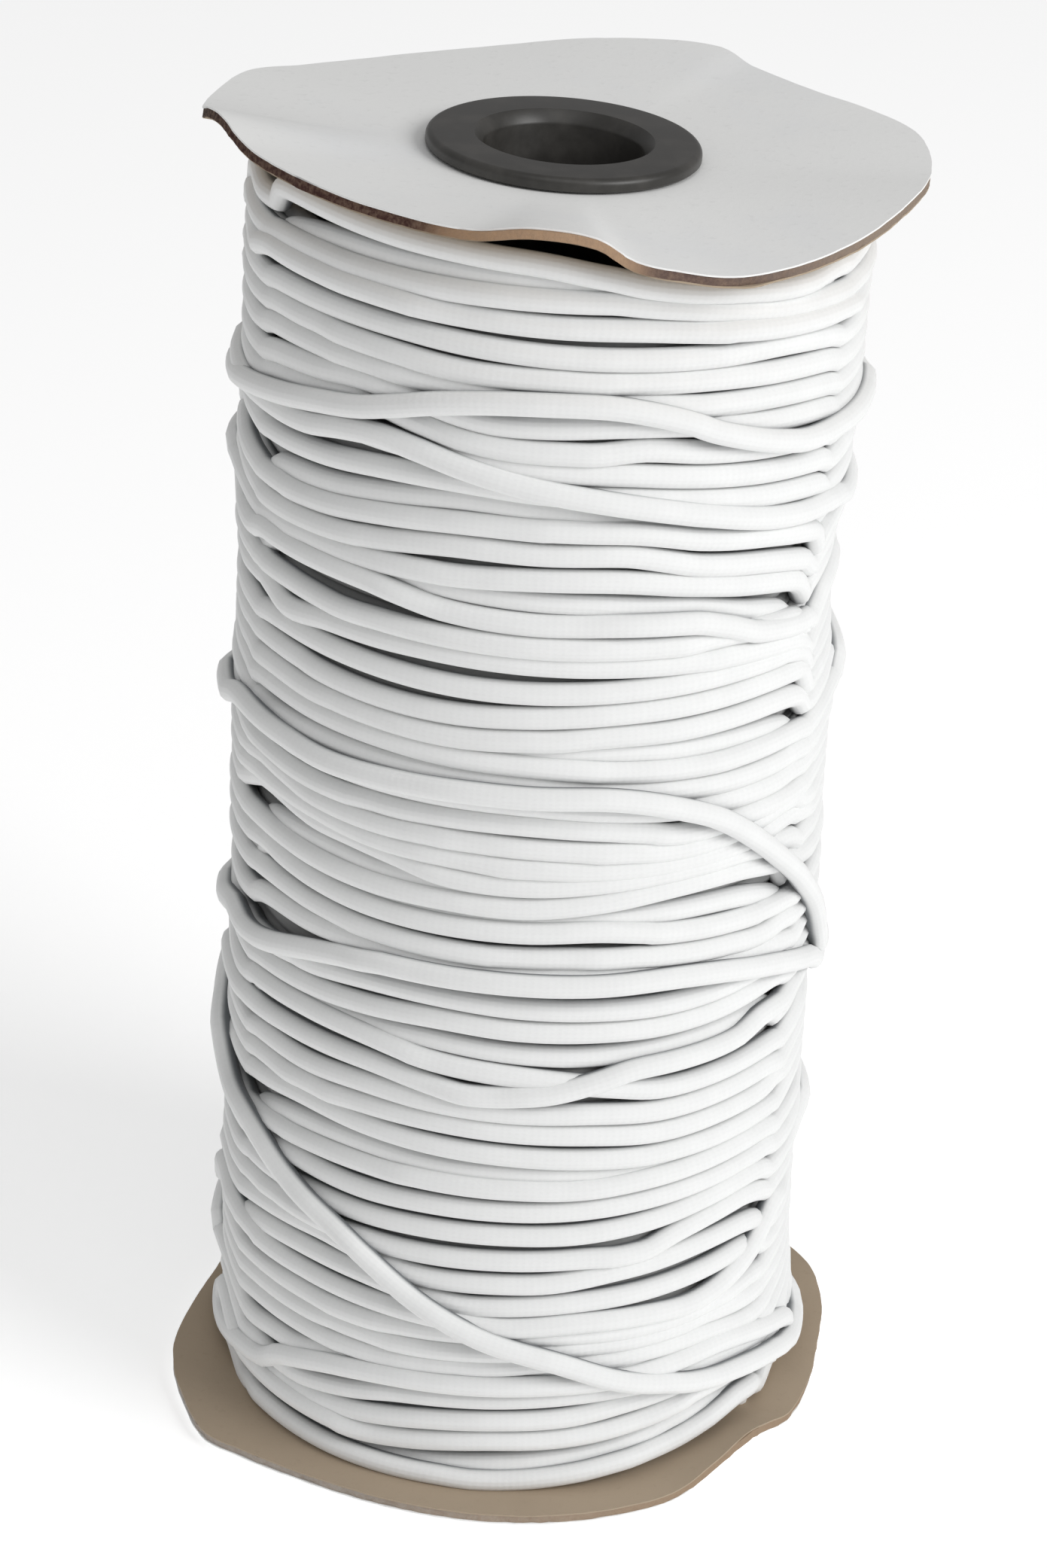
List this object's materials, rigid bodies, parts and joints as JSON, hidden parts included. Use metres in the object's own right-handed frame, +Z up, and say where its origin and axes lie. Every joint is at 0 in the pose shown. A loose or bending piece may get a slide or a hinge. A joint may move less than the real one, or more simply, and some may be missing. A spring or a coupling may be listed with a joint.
{
  "type": "roll of woven elastic",
  "caption": "Spool of white round elastic cord: a full barrel of wound turns with crossing strands between card flanges, on a lipped black plastic core with an open bore.",
  "frame": {"origin": "middle of the lower core lip, on the surface the spool stands on", "axes": "+Z up along the core, -Y towards the viewer of the picture, +X to the viewer's right"},
  "size_m": [0.0918, 0.0901, 0.1851],
  "materials": {
    "core": "moulded, slightly glossy",
    "card": "white faced on the outside, kraft on the inside",
    "cord": "fine braid"
  },
  "bodies": {
    "root": {"core_tube": "core", "core_cap": "core", "flange_bottom": "card", "flange_top": "card", "winding": "cord"}
  },
  "joints": []
}
